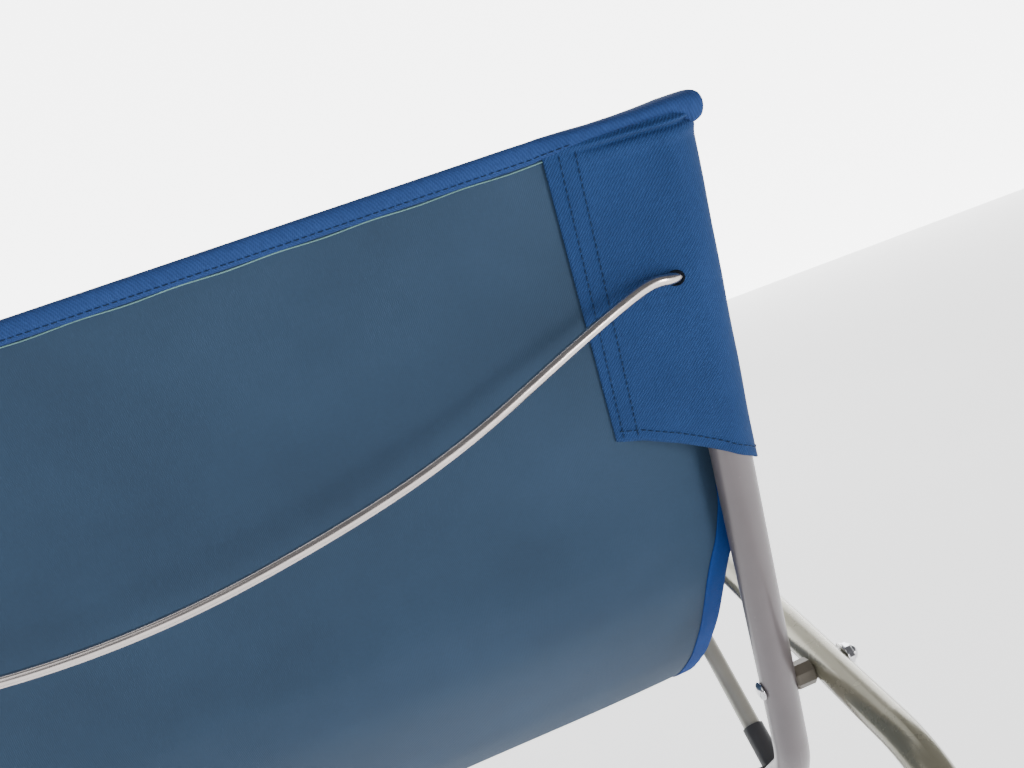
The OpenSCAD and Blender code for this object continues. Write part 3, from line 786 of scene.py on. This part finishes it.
# ---------------------------------------------------------------- bodies
BF, SF = "back_frame", "seat_frame"
thr = {k: threads(k, n) for k, n in (("pocket-1", "right_pocket_thread"), ("pocket1", "left_pocket_thread"), ("hem", "hem_thread"),
                                     ("sleeve", "front_sleeve_thread"), ("bind-1", "right_binding_thread"), ("bind1", "left_binding_thread"))}
for o in [sling] + bind + [thr["bind-1"], thr["bind1"]]:
    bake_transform(o)
for o in pockets + [hem, hem_edge, thr["pocket-1"], thr["pocket1"], thr["hem"], rod] + holes + [bolt_heads, bush_set, nut_set]:
    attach(o, BF)
for o in (sleeve, thr["sleeve"]):
    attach(o, SF)
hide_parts("back_sling", "seat_sling")
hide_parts("right_pocket")
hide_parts("left_pocket")
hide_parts("top_hem")
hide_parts("front_pocket")
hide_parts("back_rod")
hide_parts("pivot_bolts")
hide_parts("pivot_spacers")
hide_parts("pivot_nuts", "pivot_washers")

# carried-over CAD nodes
look = {"right_back_leg": M_GREY, "left_back_leg": M_GREY, "front_foot_tube": M_GREY, "front_foot_pads": M_BLACK,
        "front_joint_rivets": M_PLATE, "post_caps": M_BLACK, "rod_grommets": M_BLACK, "right_seat_leg": M_CHAMP,
        "left_seat_leg": M_CHAMP, "rear_foot_tube": M_CHAMP, "rear_foot_pads": M_BLACK, "rear_joint_rivets": M_PLATE,
        "seat_front_tube": M_CHAMP, "seat_joint_rivets": M_PLATE, "stay_bolts": M_PLATE, "stay_washers": M_PLATE,
        "stay_nuts": M_PLATE, "right_stay_tube": M_STAY, "left_stay_tube": M_STAY, "right_stay_clip": M_BLACK, "left_stay_clip": M_BLACK}
for n, mt in look.items():
    o = nodes[n]
    for i in range(len(o.material_slots)):
        o.material_slots[i].material = mt
    if not o.material_slots:
        o.data.materials.append(mt)

# ---------------------------------------------------------------- stage, light, camera
q = Mat("floor")
nz = q.n("ShaderNodeTexNoise", Scale=3.0, Detail=4.0)
q.l(q.n("ShaderNodeTexCoord").outputs["Object"], nz.inputs["Vector"])
q.l(q.ramp(nz.outputs["Fac"], [(0.3, (0.80, 0.80, 0.80)), (0.7, (0.84, 0.84, 0.84))]), q.b.inputs["Base Color"])
q.set(Roughness=0.8, Emission_Color=(1, 1, 1, 1), Emission_Strength=1.0)
fl = mesh("floor", [(-14, -14, -0.0004), (14, -14, -0.0004), (14, 14, -0.0004), (-14, 14, -0.0004)], [(0, 1, 2, 3)], mats=[q.m])
wall = Mat("backdrop")
wall.set(Base_Color=(0.9, 0.9, 0.9, 1), Roughness=0.9, Emission_Color=(1, 1, 1, 1), Emission_Strength=5.0)
bd = mesh("backdrop", [(-14, -7, -0.5), (14, -7, -0.5), (14, -7, 9), (-14, -7, 9)], [(0, 1, 2, 3)], mats=[wall.m])

wd = bpy.data.worlds.new("studio")
bpy.context.scene.world = wd
wd.use_nodes = True
wd.node_tree.nodes["Background"].inputs[0].default_value = (0.93, 0.95, 1.0, 1)
wd.node_tree.nodes["Background"].inputs[1].default_value = 0.20


def area(name, loc, target, size, power, col=(1, 1, 1)):
    li = bpy.data.lights.new(name, "AREA")
    li.shape = "RECTANGLE"
    li.size, li.size_y = size
    li.energy = power
    li.color = col
    o = bpy.data.objects.new(name, li)
    bpy.context.scene.collection.objects.link(o)
    o.location = loc
    o.rotation_euler = (Vector(target) - Vector(loc)).to_track_quat("-Z", "Y").to_euler()
    return o


area("key", (-0.95, 1.35, 0.25), (-0.15, 0.1, 0.4), (0.4, 0.4), 11, (1.0, 0.95, 0.93))
area("fill", (1.2, 1.2, 1.3), (0, 0, 0.3), (1.2, 1.2), 8)
area("top", (0.0, -0.3, 1.9), (0, 0, 0.3), (1.4, 1.4), 9)
area("front", (-0.6, -1.9, 1.2), (0, 0, 0.3), (1.2, 1.2), 6)

cam = bpy.data.cameras.new("camera")
cam.sensor_width = 36
cam.lens = 31.640625
cam.clip_start = 0.01
cam.clip_end = 60
co = bpy.data.objects.new("camera", cam)
bpy.context.scene.collection.objects.link(co)
co.matrix_world = Matrix(((-0.92754, -0.34848, 0.13503, -0.12342), (0.14858, -0.01234, 0.98882, 0.50288 + PY - 0.0588),
                          (-0.34292, 0.93724, 0.06322, 0.45002 + PZ - 0.225), (0, 0, 0, 1)))
bpy.context.scene.camera = co
